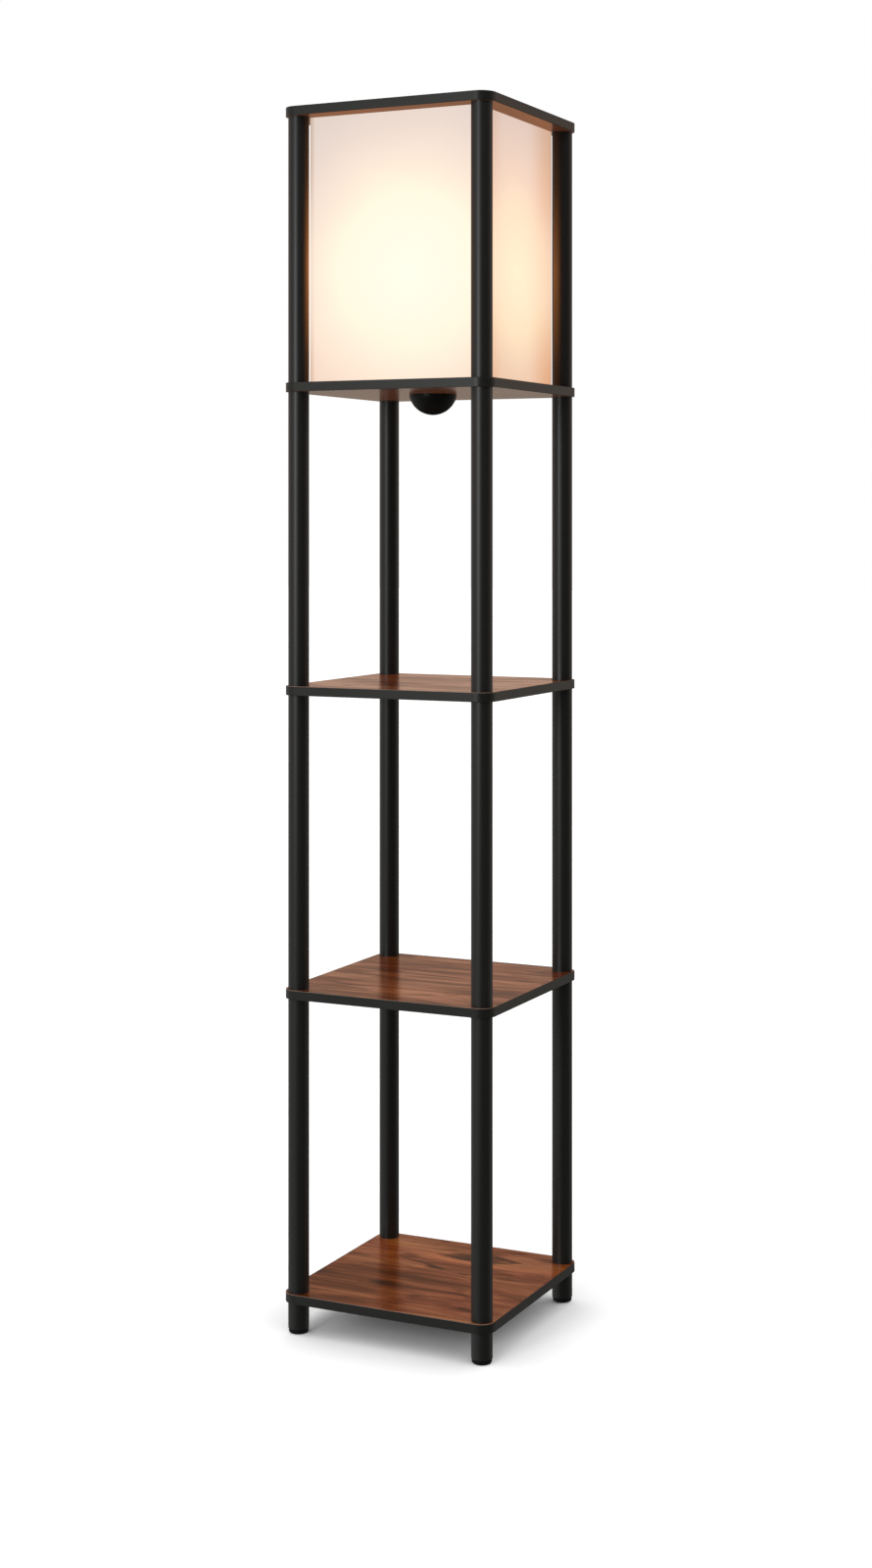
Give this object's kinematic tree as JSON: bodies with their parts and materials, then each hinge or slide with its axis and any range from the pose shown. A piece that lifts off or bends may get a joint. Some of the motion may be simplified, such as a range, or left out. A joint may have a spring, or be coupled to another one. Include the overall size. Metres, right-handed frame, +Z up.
{
  "type": "shelf floor lamp",
  "caption": "Tall square floor lamp: open wood-grain shelves clamped between black tube posts, under a lit white box shade whose bulb screws out of its lampholder.",
  "frame": {"origin": "on the floor, under the middle of the boards", "axes": "+Z up, -Y the front, +X to the right seen from the front; the cord outlet points to +Y"},
  "size_m": [0.295, 0.295, 1.58],
  "materials": {
    "board": "satin",
    "edge_band": "satin",
    "post_tube": "satin",
    "connector": "matte",
    "foot_cap": "matte",
    "shade_panel": "satin",
    "shade_angle": "satin",
    "dome": "satin",
    "bushing": "matte",
    "stem": "satin",
    "lampholder": "gloss",
    "brass": "satin",
    "bulb_globe": "satin",
    "bulb_housing": "satin",
    "bulb_cap": "satin",
    "bulb_insulator": "gloss"
  },
  "bodies": {
    "frame": {"bottom_shelf": "board", "bottom_shelf_edge_band": "edge_band", "centre_contact": "brass", "cord_bushing": "bushing", "dome_cover": "dome", "dome_plate": "dome", "foot_caps": "foot_cap", "foot_tube_back_left": "post_tube", "foot_tube_back_right": "post_tube", "foot_tube_front_left": "post_tube", "foot_tube_front_right": "post_tube", "lamp_board": "board", "lamp_board_edge_band": "edge_band", "lampholder_body": "lampholder", "lampholder_cap": "lampholder", "lower_tube_back_left": "post_tube", "lower_tube_back_right": "post_tube", "lower_tube_front_left": "post_tube", "lower_tube_front_right": "post_tube", "middle_shelf": "board", "middle_shelf_edge_band": "edge_band", "middle_tube_back_left": "post_tube", "middle_tube_back_right": "post_tube", "middle_tube_front_left": "post_tube", "middle_tube_front_right": "post_tube", "screw_shell": "brass", "shade_back_panel": "shade_panel", "shade_corner_angles": "shade_angle", "shade_front_panel": "shade_panel", "shade_left_panel": "shade_panel", "shade_right_panel": "shade_panel", "shade_tube_back_left": "post_tube", "shade_tube_back_right": "post_tube", "shade_tube_front_left": "post_tube", "shade_tube_front_right": "post_tube", "stem_nuts": "stem", "stem_pipe": "stem", "stem_washers": "stem", "top_board": "board", "top_board_edge_band": "edge_band", "top_studs": "connector", "tube_sockets": "connector", "tube_studs": "connector", "upper_shelf": "board", "upper_shelf_edge_band": "edge_band", "upper_tube_back_left": "post_tube", "upper_tube_back_right": "post_tube", "upper_tube_front_left": "post_tube", "upper_tube_front_right": "post_tube"},
    "bulb_foot": {"bulb_contact": "brass"},
    "bulb": {"bulb_cap": "bulb_cap", "bulb_globe": "bulb_globe", "bulb_housing": "bulb_housing", "bulb_insulator": "bulb_insulator"}
  },
  "joints": [
    {"name": "bulb_lift", "type": "slide", "parent": "frame", "child": "bulb_foot", "axis": [0, 0, 1], "range_m": [0, 0.01824]},
    {"name": "bulb_turn", "type": "hinge", "parent": "bulb_foot", "child": "bulb", "pos_m": [0, 0, 1.296], "axis": [0, 0, 1], "range_deg": [0, 1800]}
  ],
  "couplings": [
    {"joint": "bulb_lift", "follows": "bulb_turn", "m_per_rad": 0.00057757}
  ]
}
